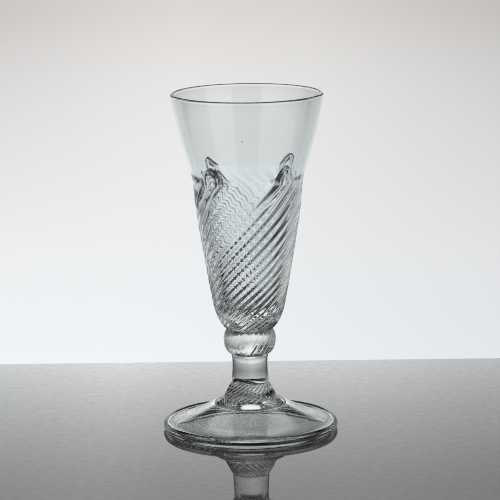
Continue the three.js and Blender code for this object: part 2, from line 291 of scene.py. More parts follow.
# By height above the horizon the level follows one curve at the middle, one beside it and one far round.
# The first two lines say at which azimuths the middle's and the far one hold
SCREEN_MIDDLE = ((-16, 0), (-8, 1), (8, 1), (16, 0))
SCREEN_FAR = ((-38, 1), (-28, 0), (28, 0), (38, 1))
SCREEN_UP_MIDDLE = (
    (-46, 0.02), (-38, 0.3), (-28, 0.72), (-20, 0.88), (-14, 0.92), (-8, 0.825), (-6.7, 0.785),
    (-5.5, 0.69), (-3, 0.66), (4, 0.85), (10, 1.03), (17, 1), (20.5, 0.3), (25, 0.04), (45, 0.02),
)
SCREEN_UP_SIDES = (
    (-34, 0.02), (-24, 0.05), (-19, 0.85), (-14, 0.93), (-5, 0.8), (0, 0.6), (5, 0.4), (9, 0.4), (12, 1),
    (17, 0.95), (20, 0.3), (24, 0.04), (45, 0.02),
)
SCREEN_UP_FAR = (
    (-30, 0.9), (-21, 0.9), (-14, 0.93), (-5, 0.8), (0, 0.6), (5, 0.4), (9, 0.4), (12, 1), (17, 0.95),
    (20, 0.85), (30, 0.8), (36, 0.3), (45, 0.02),
)

# A bright patch high behind the glass
HIGH_LIGHT_ROUND = ((-75, 0), (-55, 1), (35, 1), (60, 0))
HIGH_LIGHT_UP = ((38, 0), (46, 1), (58, 1), (66, 0))

# The photograph's darker top corners: where they are, and how much they darken
CORNERS_ROUND = ((-14, 0.6), (-6, 1), (-1.5, 0), (1.5, 0), (6, 0.8), (14, 0.5))
CORNERS_UP = ((-11, 0), (-5.3, 1), (-3, 1), (3, 0))
CORNERS_FALL = 0.2

# Tint of the screens: how far it is from cool to warm, by height
SCREEN_WARMTH = ((-14, 0), (-5, 1), (-3, 1), (4, 0.3))
SCREEN_COOL = (0.955, 1, 1.035)
SCREEN_WARM = (1.04, 1, 0.97)

# The darkest that the glass sees, and the even light that matt surfaces get from all round
DARK_LEVEL = 0.012
ROOM_LEVEL = 0.7

# Softbox over the left front, in metres and watts
SOFTBOX_PLACE = (-1.3, -0.6, 1.2)
SOFTBOX_SIZE = 0.8
SOFTBOX_POWER = 18
SOFTBOX_AIM = (0, 0, 0.06)

# Camera: the photograph's viewpoint in metres and degrees, fitted to the rim, knop and foot ellipses
CAMERA_DISTANCE, CAMERA_HEIGHT = 0.97356, 0.25699
CAMERA_PITCH, CAMERA_ROLL, CAMERA_YAW = 10.894, 0.689, -0.0313
CAMERA_LENS, CAMERA_SENSOR = 187.2, 36


# Curves and rings


def faded(away, whole, none):
    """1 up to a distance of whole, falling evenly to 0 at none."""
    return np.clip((none - away) / (none - whole), 0, 1)


def eased(share):
    """The same share from 0 to 1, with soft ends."""
    return share * share * (3 - 2 * share)


def bent(*points, steps):
    """Points along the Bezier curve with these control points."""
    share = np.linspace(0, 1, steps + 1)[:, None]
    degree = len(points) - 1
    weights = [math.comb(degree, k) * share**k * (1 - share) ** (degree - k) for k in range(degree + 1)]
    return sum(weight * np.array(point, float) for weight, point in zip(weights, points))


def arc(radius, z, size, start, end, steps):
    """Points on the round about (radius, z), between two angles in degrees."""
    angle = np.radians(np.linspace(start, end, steps + 1))
    return np.stack([radius + size * np.cos(angle), z + size * np.sin(angle)], axis=1)


def ring(radius, z, turn=0.0):
    """A ring of points. Radius and height are numbers, or have a value for each side."""
    azimuth = AZIMUTHS + turn
    return np.stack([radius * np.sin(azimuth), -radius * np.cos(azimuth), z + 0 * azimuth], axis=1)


def on_axis(z):
    """A ring that is one point on the axis."""
    return np.array([[0.0, 0.0, z]])


def rings(profile):
    """A plain ring at each (radius, height) of a profile."""
    return [ring(radius, z) for radius, z in profile]


def rib_at(azimuth):
    """A rib's height over the valleys beside it, from 0 to 1."""
    return 0.5 + 0.5 * np.cos(RIB_COUNT * (azimuth - RIB_PHASE))


def degrees_past(azimuth, middle):
    """How many degrees each azimuth is past a middle given in degrees, from -180 to 180."""
    return (np.degrees(azimuth) - middle + 180) % 360 - 180


def degrees_from(azimuth, *middles):
    """How many degrees each azimuth is from the nearest of these middles, given in degrees."""
    return np.min([np.abs(degrees_past(azimuth, middle)) for middle in middles], axis=0)


# Meshes


def banded(*parts):
    """A skin: (ring, slot) pairs, where the slot is that of the band which ends at the ring."""
    return [(points, slot) for slot, part in parts for points in part]


def band_faces(first, first_count, second, second_count):
    """The faces between two rings of vertices, numbered from first and from second."""
    side = np.arange(SIDES)
    after = (side + 1) % SIDES
    if first_count == 1:
        return np.stack([first + 0 * side, second + after, second + side], axis=1)
    if second_count == 1:
        return np.stack([first + side, first + after, second + 0 * side], axis=1)
    return np.stack([first + side, first + after, second + after, second + side], axis=1)


def solid(name, skin, closes=False):
    """A closed mesh from a skin that runs from the underside's centre, up the outside and back to the
    axis. One that closes is a loop round the axis, and its last ring is its first."""
    points = [ring_points for ring_points, _ in skin]
    if closes:
        points = points[:-1]
    starts = np.cumsum([0] + [len(p) for p in points])
    faces, slots = [], []
    for k in range(1, len(skin)):
        end = k % len(points)
        faces += band_faces(starts[k - 1], len(points[k - 1]), starts[end], len(points[end])).tolist()
        slots += [skin[k][1]] * SIDES
    mesh = bpy.data.meshes.new(name)
    mesh.from_pydata((np.concatenate(points) * MM).tolist(), [], faces)
    mesh.polygons.foreach_set("material_index", slots)
    mesh.shade_smooth()
    mesh.set_sharp_from_angle(angle=SHARP_ANGLE)
    piece = bpy.data.objects.new(name, mesh)
    bpy.context.collection.objects.link(piece)
    return piece


def common_outline(*functions):
    """The ring inside all of these outlines, each given as radius at azimuth."""
    return np.min([function(AZIMUTHS) for function in functions], axis=0) - JOINT_MARGIN


def nearest(points, target):
    """The same ring, numbered from the point that is nearest to the target ring's first."""
    away = np.linalg.norm(points - target[0], axis=1)
    return np.roll(points, -int(np.argmin(away)), axis=0)


# Knop, stem and collar


def knop_outline():
    lower = bent(
        (STEM_RADIUS + KNOP_STEP, STEM_TOP),
        (KNOP_RADIUS - KNOP_TUCK, KNOP_MIDDLE - (KNOP_MIDDLE - STEM_TOP) * KNOP_FULLNESS_BELOW),
        (KNOP_RADIUS, KNOP_MIDDLE),
        steps=22,
    )
    upper = bent(
        (KNOP_RADIUS, KNOP_MIDDLE),
        (KNOP_RADIUS, KNOP_MIDDLE + (NECK - KNOP_MIDDLE) * KNOP_FULLNESS_ABOVE),
        (KNOP_NECK_RADIUS, NECK),
        steps=14,
    )
    return np.concatenate([lower, upper[1:]])


def knop_rib_depth(azimuth, z):
    """The knop's ribs are worn away but for its right front."""
    kept = faded(degrees_from(azimuth, KNOP_RIBBED_SIDE), *KNOP_RIBBED_REACH)
    share = KNOP_WORN_SHARE + (1 - KNOP_WORN_SHARE) * kept
    return KNOP_RIB_DEPTH * share * min(1, (z - STEM_TOP) / KNOP_RIB_FADE)


def knop_ring(radius, z):
    turn = KNOP_TWIST * (z - STEM_TOP)
    return ring(radius - knop_rib_depth(AZIMUTHS + turn, z) * (1 - rib_at(AZIMUTHS)), z, turn)


def knop_neck_radius(azimuth):
    turn = KNOP_TWIST * (NECK - STEM_TOP)
    return KNOP_NECK_RADIUS - knop_rib_depth(azimuth, NECK) * (1 - rib_at(azimuth - turn))


def knop():
    sides = [knop_ring(radius, z) for radius, z in knop_outline()]
    neck = ring(common_outline(gather_neck_radius, knop_neck_radius), NECK)
    skin = banded(
        (FUSED, [on_axis(STEM_TOP), sides[0]]),
        (GLASS, sides[1:]),
        (GLASS, [nearest(neck, sides[-1])]),
        (FUSED, [on_axis(NECK)]),
    )
    return solid("ribbed_knop", skin)


def stem():
    length = STEM_TOP - COLLAR_TOP
    swell = (STEM_RADIUS + STEM_SWELL, COLLAR_TOP + length * STEM_SWELL_AT)
    waist = (STEM_RADIUS - STEM_WAIST, COLLAR_TOP + length * STEM_WAIST_AT)
    side = bent((STEM_RADIUS, COLLAR_TOP), swell, waist, (STEM_RADIUS, STEM_TOP), steps=20)
    side[-len(KNOP_STEP_RISE) :, 0] += KNOP_STEP * np.array(KNOP_STEP_RISE)
    skin = banded(
        (FUSED, [on_axis(COLLAR_TOP)] + rings(side[:1])),
        (GLASS, rings(side[1:])),
        (FUSED, [on_axis(STEM_TOP)]),
    )
    return solid("plain_stem", skin)


def collar_ring(radius, z):
    turn = COLLAR_TWIST * (z - FOOT_TOP)
    depth = COLLAR_RIB_DEPTH * min(1, (COLLAR_TOP - z) / COLLAR_RIB_FADE)
    return ring(radius - depth * (1 - rib_at(AZIMUTHS)), z, turn)


def collar_foot_radius(azimuth):
    return COLLAR_RADIUS - COLLAR_RIB_DEPTH * (1 - rib_at(azimuth))


def collar():
    flare = bent(
        (COLLAR_RADIUS, FOOT_TOP),
        (STEM_RADIUS + COLLAR_BEND_OUT, COLLAR_TOP - COLLAR_BEND_DOWN),
        (STEM_RADIUS, COLLAR_TOP),
        steps=26,
    )
    skin = banded(
        (FUSED, [on_axis(FOOT_TOP), ring(common_outline(collar_foot_radius), FOOT_TOP)]),
        (GLASS, [collar_ring(radius, z) for radius, z in flare]),
        (FUSED, [on_axis(COLLAR_TOP)]),
    )
    return solid("ribbed_collar", skin)


# Second gather


def gather_outline():
    """The gather's ridges, from the neck up to the shoulder."""
    cup_top = NECK + GATHER_CUP_HEIGHT
    neck, cup, shoulder = (KNOP_NECK_RADIUS, NECK), (GATHER_CUP_RADIUS, cup_top), (GATHER_RADIUS, SHOULDER)
    cup_bend = (KNOP_NECK_RADIUS + GATHER_CUP_BEND_OUT, NECK + GATHER_CUP_BEND_UP)
    side_bend = ((GATHER_CUP_RADIUS + GATHER_RADIUS) / 2 + GATHER_BELLY, (cup_top + SHOULDER) / 2)
    lower = bent(neck, cup_bend, cup, steps=36)
    upper = bent(cup, side_bend, shoulder, steps=120)
    return np.concatenate([lower, upper[1:]])


def rib_turns(outline):
    """How far the ribs have turned at each point of the outline: 0 at the shoulder."""
    middle = (outline[1:, 0] + outline[:-1, 0]) / 2
    rate = GATHER_TWIST * (GATHER_RADIUS / middle) ** GATHER_TWIST_TIGHTENING
    steps = rate * np.diff(outline[:, 1])
    return -np.append(np.cumsum(steps[::-1])[::-1], 0)


def flame_outline(azimuth, flame):
    """One flame point's height above the edge, and how far its outline is to the side, both in mm."""
    tip, height, _, before, after = flame
    past = degrees_past(azimuth, tip)
    run = np.where(past < 0, before[0], after[0])
    power = np.where(past < 0, before[1], after[1])
    share = np.abs(past) / run
    return height * (1 - share**power), (run - np.abs(past)) * GATHER_RADIUS * math.radians(1)


def crest_at(azimuth):
    """The height of the gather's edge."""
    rises = [flame_outline(azimuth, flame)[0] for flame in FLAMES]
    return SHOULDER + GATHER_EDGE_RISE + np.maximum(0, np.max(rises, axis=0))


def flame_at(azimuth, below):
    """How full a flame point is, from 0 at its outline to 1, at this height below its crest line. Behind
    its rounded lip it dips a little."""
    slope = np.gradient(crest_at(azimuth), GATHER_RADIUS * math.radians(360 / SIDES))
    inside = below / np.sqrt(1 + slope**2)
    sideways = np.max([flame_outline(azimuth, flame)[1] for flame in FLAMES], axis=0)
    inside = np.minimum(inside, np.maximum(sideways, 0))
    full = np.sin(np.clip(inside / FLAME_ROUND, 0, 1) * math.pi / 2)
    dip = faded(np.abs(inside - FLAME_ROUND - FLAME_DIP_WIDTH / 2), 0, FLAME_DIP_WIDTH / 2)
    return full - FLAME_DIP * eased(dip)


def flame_relief(azimuth):
    """How far the nearest flame point stands out from the bowl."""
    away = [degrees_from(azimuth, flame[0]) for flame in FLAMES]
    return np.array([flame[2] for flame in FLAMES])[np.argmin(away, axis=0)]


def thinning(azimuth, z):
    """How much the gather thins towards its edge, between the flame points."""
    between = faded(degrees_from(azimuth, *GATHER_THINNING_AT), *GATHER_THINNING_REACH)
    return GATHER_THINNING * between * eased(faded(SHOULDER - z, 0, GATHER_THINNING_RUN))


def rib_change(azimuth, z):
    """How much deeper the ribs are in some places, as a share of their depth."""
    right = eased(faded(degrees_from(azimuth, GATHER_DEEP_SIDE), *GATHER_DEEP_REACH))
    middle = faded(degrees_from(azimuth, 0, 180), *GATHER_CALM_REACH)
    low_down = faded(z, *GATHER_LOW_REACH)
    change = GATHER_DEEPENING * right - GATHER_CALM * middle * (1 - low_down) + GATHER_LOW * low_down
    return change * np.clip((z - NECK) / GATHER_NECK_EASE, 0, 1)


def rib_depth(azimuth, z):
    """Ribs deepen beside the flame points, and fade out under the edge between them."""
    flame = faded(degrees_from(azimuth, *[flame[0] for flame in FLAMES]), *FLAME_RIB_REACH)
    fade = GATHER_RIB_FADE + (GATHER_SIDE_FADE - GATHER_RIB_FADE) * np.sin(azimuth) ** 2
    under = np.clip((SHOULDER - z) / fade, 0, 1)
    gain = FLAME_RIB_GAIN * flame * faded(SHOULDER - z, 0, FLAME_RIB_RUN)
    share = under + (1 - under) * flame * FLAME_RIB_SHARE + gain
    return GATHER_RIB_DEPTH * (1 + rib_change(azimuth, z)) * share


def slot_depth(azimuth, z, slots):
    """How deep the slots are, which run along the valleys. A slot is given by its azimuth there."""
    depths = []
    for middle, height in slots:
        across = degrees_past(azimuth, middle) / SLOT_HALF_WIDTH
        along = (z - height) / SLOT_HALF_HEIGHT
        depths.append(np.exp(-(across**2) - along**2))
    return SLOT_DEPTH * np.sum(depths, axis=0)


def gather_neck_radius(azimuth):
    turn = rib_turns(gather_outline())[0]
    return KNOP_NECK_RADIUS - GATHER_RIB_DEPTH * (1 - rib_at(azimuth - turn))


def gather_rings():
    outline = gather_outline()
    turns = rib_turns(outline)
    slots = [(azimuth - math.degrees(np.interp(z, outline[:, 1], turns)), z) for azimuth, z in GATHER_SLOTS]
    for (radius, z), turn in zip(outline, turns):
        near_edge = eased(max(0, 1 - (SHOULDER - z) / FLAME_ROOT))
        flame = flame_at(AZIMUTHS, crest_at(AZIMUTHS) - SHOULDER) * near_edge
        depth = rib_depth(AZIMUTHS, z) * (1 - flame * FLAME_RIB_CALM)
        ridge = radius - thinning(AZIMUTHS, z)
        side = ridge - depth * (1 - rib_at(AZIMUTHS)) - slot_depth(AZIMUTHS, z, slots)
        yield ring(side + flame_relief(AZIMUTHS) * flame, z, turn)


def gather_edge(steps):
    """The rings of the gather's edge, from the shoulder up to the crest. It thins out to nothing between
    the flame points, and is round and thick at them."""
    wall = GATHER_RADIUS - SHOULDER_RADIUS - thinning(AZIMUTHS, SHOULDER)
    relief = flame_relief(AZIMUTHS)
    crest = crest_at(AZIMUTHS)
    depth = rib_depth(AZIMUTHS, SHOULDER)
    for k in range(1, steps + 1):
        share = math.sin(math.pi / 2 * k / steps)
        z = SHOULDER + (crest - SHOULDER) * share
        flame = flame_at(AZIMUTHS, crest - z)
        thin = (1 - share) ** GATHER_EDGE_THINNING
        edge = wall * np.maximum(thin, flame * (1 - share * FLAME_LIP_THINNING)) + relief * flame
        crease = depth * (1 - rib_at(AZIMUTHS)) * (1 - share) * (1 - flame * FLAME_RIB_CALM)
        yield ring(cone_radius(z) + np.maximum(edge - crease, 0), z)


def wrythen_gather():
    sides = list(gather_rings())
    neck = ring(common_outline(gather_neck_radius, knop_neck_radius), NECK)
    skin = banded(
        (FUSED, [on_axis(NECK), nearest(neck, sides[0])]),
        (GLASS, sides),
        (GLASS, gather_edge(GATHER_EDGE_STEPS)),
        (FUSED, crest_rings()[::-1][1:]),
        (FUSED, rings(seat_side()[::-1])),
        (FUSED, rings(seat_cup()[::-1][1:-1])),
        (FUSED, [on_axis(seat_cup()[0][1])]),
    )
    return solid("wrythen_second_gather", skin)


# Bowl


def seat_cup():
    """The round bottom of the bowl's outside, where the gather covers it."""
    bottom = NECK + GATHER_FLOOR
    return bent((0, bottom), (BOWL_CUP_RADIUS, bottom), (BOWL_CUP_RADIUS, bottom + BOWL_CUP_RISE), steps=14)


def seat_side():
    return bent(seat_cup()[-1], (SHOULDER_RADIUS, SHOULDER), steps=12)


def cone_radius(z):
    """The bowl's outside radius on the cone of its shoulder."""
    return SHOULDER_RADIUS + (z - SHOULDER) * SHOULDER_SLOPE


def crest_rings():
    """Rings on the bowl's cone from the shoulder up to the gather's edge, without the first."""
    steps = range(1, CREST_STEPS + 1)
    heights = [SHOULDER + (crest_at(AZIMUTHS) - SHOULDER) * k / CREST_STEPS for k in steps]
    return [ring(cone_radius(z), z) for z in heights]


def bowl():
    cone_top = CREST + SHOULDER_ABOVE_FLAMES
    cone = (cone_radius(cone_top), cone_top)
    lip = RIM_BEAD / 2
    rim = (RIM_RADIUS, RIM - lip)
    middle = (cone_top + rim[1]) / 2
    bend = (cone_radius(middle), middle)
    side = bent(cone, bend, rim, steps=40)
    inner_side = bent(
        (rim[0] - RIM_WALL - RIM_BEAD_RUN * SHOULDER_SLOPE * RIM_LEAN, rim[1] - RIM_BEAD_RUN),
        (bend[0] - (RIM_WALL + SHOULDER_WALL) / 2, middle),
        (cone[0] - SHOULDER_WALL, cone_top),
        steps=40,
    )
    cup = (BOWL_CUP_RADIUS - BOWL_CUP_WALL, NECK + GATHER_FLOOR + BOWL_CUP_RISE)
    floor = NECK + GATHER_FLOOR + BOWL_FLOOR
    hip = (SHOULDER_RADIUS - SHOULDER_WALL, SHOULDER)
    steps = range(1, CREST_STEPS + 1)
    rise = [crest_at(AZIMUTHS) + (cone_top - crest_at(AZIMUTHS)) * k / CREST_STEPS for k in steps]
    skin = banded(
        (FUSED, [on_axis(seat_cup()[0][1])]),
        (FUSED, rings(seat_cup()[1:])),
        (FUSED, rings(seat_side()[1:])),
        (FUSED, crest_rings()),
        (GLASS, [ring(cone_radius(z), z) for z in rise]),
        (GLASS, rings(side[1:])),
        (GLASS, rings(arc(RIM_RADIUS - lip, RIM - lip, lip, start=0, end=180, steps=16)[1:])),
        (GLASS, rings(inner_side[1:])),
        (GLASS, rings(bent(inner_side[-1], hip, steps=8)[1:])),
        (GLASS, rings(bent(hip, cup, steps=50)[1:])),
        (GLASS, rings(bent(cup, (cup[0], floor), (0, floor), steps=24)[1:-1])),
        (GLASS, [on_axis(floor)]),
    )
    return solid("wrythen_bowl", skin)


# Foot


def foot_slope():
    """The foot's upper side, from its edge over the valley beside the bead and up to the collar."""
    first_bend, second_bend = BEAD_BENDS
    valley = (NOSE_RADIUS - FOOT_VALLEY_WIDTH, FOOT_EDGE - FOOT_VALLEY_DEPTH)
    bead = bent(
        (NOSE_RADIUS, FOOT_EDGE),
        (NOSE_RADIUS - FOOT_VALLEY_WIDTH * first_bend, FOOT_EDGE),
        (NOSE_RADIUS - FOOT_VALLEY_WIDTH * second_bend, FOOT_EDGE - BEAD_DROP * FOOT_VALLEY_DEPTH),
        valley,
        steps=12,
    )
    cone = bent(
        valley,
        (valley[0] - FOOT_EDGE_RUN, valley[1] + FOOT_EDGE_RISE),
        (COLLAR_RADIUS + FOOT_CROWN_RUN, FOOT_TOP - FOOT_CROWN_FALL),
        (COLLAR_RADIUS, FOOT_TOP),
        steps=60,
    )
    return np.concatenate([bead, cone[1:]])


def foot_underside():
    """The hollow under the foot: flat under the crown, then a wall's thickness under the slope."""
    slope = foot_slope()[::-1]
    radius = np.linspace(HOLLOW_FLAT, FOLD_INNER, 64)
    wall = np.interp(radius, (FOLD_INNER - FOOT_EDGE_TAPER, FOLD_INNER), (FOOT_WALL, FOOT_EDGE_WALL))
    under = np.interp(radius, slope[:, 0], slope[:, 1]) - wall
    z = (SCAR + under) / 2 - np.sqrt(((SCAR - under) / 2) ** 2 + HOLLOW_BEND**2)
    z[-1] = FOLD_SEAM
    return np.stack([radius, z], axis=1)


def fold_seal():
    """The inner and outer radius of the line where the fold is sealed to the foot."""
    return FOLD_INNER + FOLD_THICKNESS / 4, FOLD_INNER + (FOLD_THICKNESS + FOLD_SEAL_WIDTH) / 2


def foot():
    seal_in, seal_out = fold_seal()
    skin = banded(
        (FUSED, [on_axis(SCAR), ring(scar_radius(AZIMUTHS), SCAR)]),
        (GLASS, rings(foot_underside())),
        (GLASS, [ring(seal_in, FOLD_SEAM)]),
        (FUSED, [ring(seal_out, FOLD_SEAM)]),
        (GLASS, [ring(NOSE_RADIUS, FOLD_SEAM)]),
        (FUSED, [ring(NOSE_RADIUS, FOOT_EDGE)]),
        (GLASS, rings(foot_slope()[1:])),
        (GLASS, [ring(common_outline(collar_foot_radius), FOOT_TOP)]),
        (FUSED, [on_axis(FOOT_TOP)]),
    )
    return solid("conical_foot", skin)


def foot_fold():
    nose = FOOT_EDGE / 2
    rest = NOSE_RADIUS + nose / 2
    lip = FOLD_THICKNESS / 2
    seal_in, seal_out = fold_seal()
    start = ring(rest - FOLD_REST_WIDTH, 0)
    air_line = bent(
        (NOSE_RADIUS, FOLD_SEAM),
        (NOSE_RADIUS, FOLD_THICKNESS),
        (NOSE_RADIUS - FOLD_AIR_LINE, FOLD_THICKNESS),
        steps=4,
    )
    skin = banded(
        (GLASS, [start, ring(rest, 0)]),
        (GLASS, rings(arc(NOSE_RADIUS, nose, nose, start=-60, end=90, steps=24))),
        (FUSED, [ring(NOSE_RADIUS, FOLD_SEAM)]),
        (GLASS, rings(air_line[1:])),
        (GLASS, [ring(seal_out + FOLD_SEAL_WIDTH / 2, FOLD_THICKNESS), ring(seal_out, FOLD_SEAM)]),
        (FUSED, [ring(seal_in, FOLD_SEAM)]),
        (GLASS, rings(arc(FOLD_INNER + lip, lip, lip, start=120, end=270, steps=16)[:-1])),
        (GLASS, [start]),
    )
    return solid("folded_foot_edge", skin, closes=True)


def ragged_at(azimuth):
    """How ragged the pontil scar is, from -1.5 to 1.5."""
    return np.sin(3 * azimuth + 1) + np.sin(7 * azimuth) / 2


def scar_radius(azimuth):
    return PONTIL_RADIUS - PONTIL_RAGGEDNESS * (1.5 + ragged_at(azimuth))


def pontil_mark():
    edge = scar_radius(AZIMUTHS)
    depth = PONTIL_DEPTH * (1 - PONTIL_RAGGEDNESS * ragged_at(AZIMUTHS) / 2)
    skin = banded(
        (GLASS, [on_axis(SCAR - PONTIL_DEPTH / 3)]),
        (GLASS, [ring(edge / 2, SCAR - depth / 2), ring(edge * 3 / 4, SCAR - depth)]),
        (GLASS, [ring(edge, SCAR - depth / 2), ring(edge, SCAR)]),
        (FUSED, [on_axis(SCAR)]),
    )
    return solid("pontil_scar", skin)


# Nodes


def new_material(name):
    material = bpy.data.materials.new(name)
    material.use_nodes = True
    material.node_tree.nodes.clear()
    return material, material.node_tree.nodes, material.node_tree.links


def feed(links, socket, value):
    """Gives a socket a number, or links it to another node's output."""
    if isinstance(value, (int, float)):
        socket.default_value = value
    else:
        links.new(value, socket)


def arithmetic(nodes, links, operation, *values):
    made = nodes.new("ShaderNodeMath")
    made.operation = operation
    for socket, value in zip(made.inputs, values):
        feed(links, socket, value)
    return made.outputs[0]


def product(nodes, links, *values):
    result = values[0]
    for value in values[1:]:
        result = arithmetic(nodes, links, "MULTIPLY", result, value)
    return result


def mixed(nodes, links, factor, first, second):
    """first where the factor is 0, second where it is 1."""
    made = nodes.new("ShaderNodeMix")
    made.data_type = "FLOAT"
    for socket, value in zip((made.inputs[0], made.inputs[2], made.inputs[3]), (factor, first, second)):
        feed(links, socket, value)
    return made.outputs[0]


def map_range(nodes, links, value, start, end, low_value, high_value, smooth=True):
    made = nodes.new("ShaderNodeMapRange")
    made.interpolation_type = "SMOOTHSTEP" if smooth else "LINEAR"
    links.new(value, made.inputs["Value"])
    limits = {"From Min": start, "From Max": end, "To Min": low_value, "To Max": high_value}
    for name, number in limits.items():
        made.inputs[name].default_value = number
    return made.outputs[0]


def noise_height(nodes, links, vector, scale, detail, stretch=(1, 1, 1)):
    """Noise at a place, from 0 to 1. A stretch over 1 squeezes it along that axis."""
    squeeze = nodes.new("ShaderNodeVectorMath")
    squeeze.operation = "MULTIPLY"
    links.new(vector, squeeze.inputs[0])
    squeeze.inputs[1].default_value = stretch
    noise = nodes.new("ShaderNodeTexNoise")
    noise.inputs["Scale"].default_value = scale
    noise.inputs["Detail"].default_value = detail
    links.new(squeeze.outputs[0], noise.inputs["Vector"])
    return noise.outputs["Fac"]


def bumped(nodes, links, height, distance, strength, under=None):
    """The surface's normal with this height on it, over the one of an earlier bump."""
    bump = nodes.new("ShaderNodeBump")
    bump.inputs["Strength"].default_value = strength
    bump.inputs["Distance"].default_value = distance
    links.new(height, bump.inputs["Height"])
    if under is not None:
        links.new(under, bump.inputs["Normal"])
    return bump.outputs["Normal"]


def ramp_through(nodes, links, value, stops, scale):
    """A curve through (angle in degrees, level) stops. The value is in radians, from -scale to scale, which
    is in degrees."""
    share = map_range(nodes, links, value, -math.radians(scale), math.radians(scale), 0, 1, smooth=False)
    curve = nodes.new("ShaderNodeValToRGB")
    links.new(share, curve.inputs[0])
    elements = curve.color_ramp.elements
    while len(elements) < len(stops):
        elements.new(0.5)
    for element, (angle, level) in zip(elements, stops):
        element.position = (angle + scale) / scale / 2
        element.color = (level, level, level, 1)
    return curve.outputs["Color"]


# Materials


def seed_height(nodes, links, place, seed):
    """A small bubble in the glass, seen as a round swelling, from 0 at its edge to 1."""
    x, y, z, radius = (value * MM for value in seed)
    away = nodes.new("ShaderNodeVectorMath")
    away.operation = "DISTANCE"
    links.new(place, away.inputs[0])
    away.inputs[1].default_value = (x, y, z)
    return map_range(nodes, links, away.outputs["Value"], 0, radius, 1, 0)


def glass_material(name, colour, wear, tool_marks, roughness=0, ripple=0.1, seed=None):
    """Clear glass with ripples, the fine marks of tooling round it, and specks where it is worn: wear is how
    much rougher they are."""
    material, nodes, links = new_material(name)
    place = nodes.new("ShaderNodeTexCoord").outputs["Object"]
    ripples = noise_height(nodes, links, place, *RIPPLE_NOISE)
    normal = bumped(nodes, links, ripples, RIPPLE_HEIGHT, ripple)
    marks = noise_height(nodes, links, place, *MARKS_NOISE)
    normal = bumped(nodes, links, marks, MARKS_HEIGHT, tool_marks, normal)
    if seed is not None:
        normal = bumped(nodes, links, seed_height(nodes, links, place, seed), seed[3] * MM, 1, normal)
    specks = noise_height(nodes, links, place, *WEAR_NOISE)
    worn = map_range(nodes, links, specks, WEAR_FROM, WEAR_WHOLE, roughness, roughness + wear)
    shader = nodes.new("ShaderNodeBsdfPrincipled")
    shader.inputs["Base Color"].default_value = (*colour, 1)
    shader.inputs["IOR"].default_value = GLASS_IOR
    shader.inputs["Transmission Weight"].default_value = 1
    output = nodes.new("ShaderNodeOutputMaterial")
    links.new(worn, shader.inputs["Roughness"])
    links.new(normal, shader.inputs["Normal"])
    links.new(shader.outputs["BSDF"], output.inputs["Surface"])
    return material


def fused_material():
    """The surface inside the glass where two pieces are one: nothing shows there."""
    material, nodes, links = new_material("fused_joint")
    clear = nodes.new("ShaderNodeBsdfTransparent")
    output = nodes.new("ShaderNodeOutputMaterial")
    links.new(clear.outputs["BSDF"], output.inputs["Surface"])
    return material


def table_tone_with_painted_shade(nodes, links, place):
    """The colour under the gloss: painted shade makes it dark round the glass, and it is pale far from it.
    """
    distance = nodes.new("ShaderNodeVectorMath")
    distance.operation = "LENGTH"
    links.new(place, distance.inputs[0])
    # Painted shade: the tone is darkest near the glass and grows pale with distance from it
    (near, dark), (far, pale) = TABLE_PAINTED_SHADE, TABLE_PALE
    tone = map_range(nodes, links, distance.outputs["Value"], near, far, dark, pale)
    colour = nodes.new("ShaderNodeCombineColor")
    for socket in ("Red", "Green", "Blue"):
        links.new(tone, colour.inputs[socket])
    return colour.outputs[0]


def table_polish(nodes, links, place):
    """How well each spot of the table mirrors."""
    split = nodes.new("ShaderNodeSeparateXYZ")
    links.new(place, split.inputs["Vector"])
    back = map_range(nodes, links, split.outputs["Y"], GLOSS_FRONT, GLOSS_BACK, 0, 1, smooth=False)
    back = arithmetic(nodes, links, "POWER", back, GLOSS_GAIN_POWER)
    along = arithmetic(nodes, links, "MULTIPLY_ADD", back, GLOSS_GAIN, GLOSS_AT_FRONT)
    sideways = arithmetic(nodes, links, "ABSOLUTE", split.outputs["X"])
    grain = noise_height(nodes, links, place, *GLOSS_GRAIN_NOISE)
    scratches = noise_height(nodes, links, place, *GLOSS_SCRATCHES_NOISE)
    return product(
        nodes,
        links,
        along,
        map_range(nodes, links, sideways, *GLOSS_SIDES),
        map_range(nodes, links, split.outputs["X"], *GLOSS_LEFT),
        map_range(nodes, links, grain, *GLOSS_GRAIN),
        map_range(nodes, links, scratches, *GLOSS_SCRATCHES),
    )


def table_material():
    """Dark round the glass by painted shade and pale far from it, under a gloss that mirrors the backdrop at
    a low angle.
    """
    material, nodes, links = new_material("grey_gloss_table")
    place = nodes.new("ShaderNodeTexCoord").outputs["Object"]
    matt = nodes.new("ShaderNodeBsdfDiffuse")
    links.new(table_tone_with_painted_shade(nodes, links, place), matt.inputs["Color"])
    gloss = nodes.new("ShaderNodeBsdfAnisotropic")
    gloss.inputs["Color"].default_value = (1, 1, 1, 1)
    smears = noise_height(nodes, links, place, *GLOSS_SMEARS_NOISE)
    links.new(map_range(nodes, links, smears, *GLOSS_SMEARS), gloss.inputs["Roughness"])
    facing = nodes.new("ShaderNodeLayerWeight")
    facing.inputs["Blend"].default_value = 0.5
    angle = arithmetic(nodes, links, "POWER", facing.outputs["Facing"], GLOSS_ANGLE_POWER)
    factor = product(nodes, links, angle, GLOSS_ANGLE_GAIN, table_polish(nodes, links, place))
    mix = nodes.new("ShaderNodeMixShader")
    links.new(arithmetic(nodes, links, "MINIMUM", factor, GLOSS_MOST), mix.inputs["Fac"])
    links.new(matt.outputs["BSDF"], mix.inputs[1])
    links.new(gloss.outputs["BSDF"], mix.inputs[2])
    output = nodes.new("ShaderNodeOutputMaterial")
    links.new(mix.outputs["Shader"], output.inputs["Surface"])
    return material


# Studio


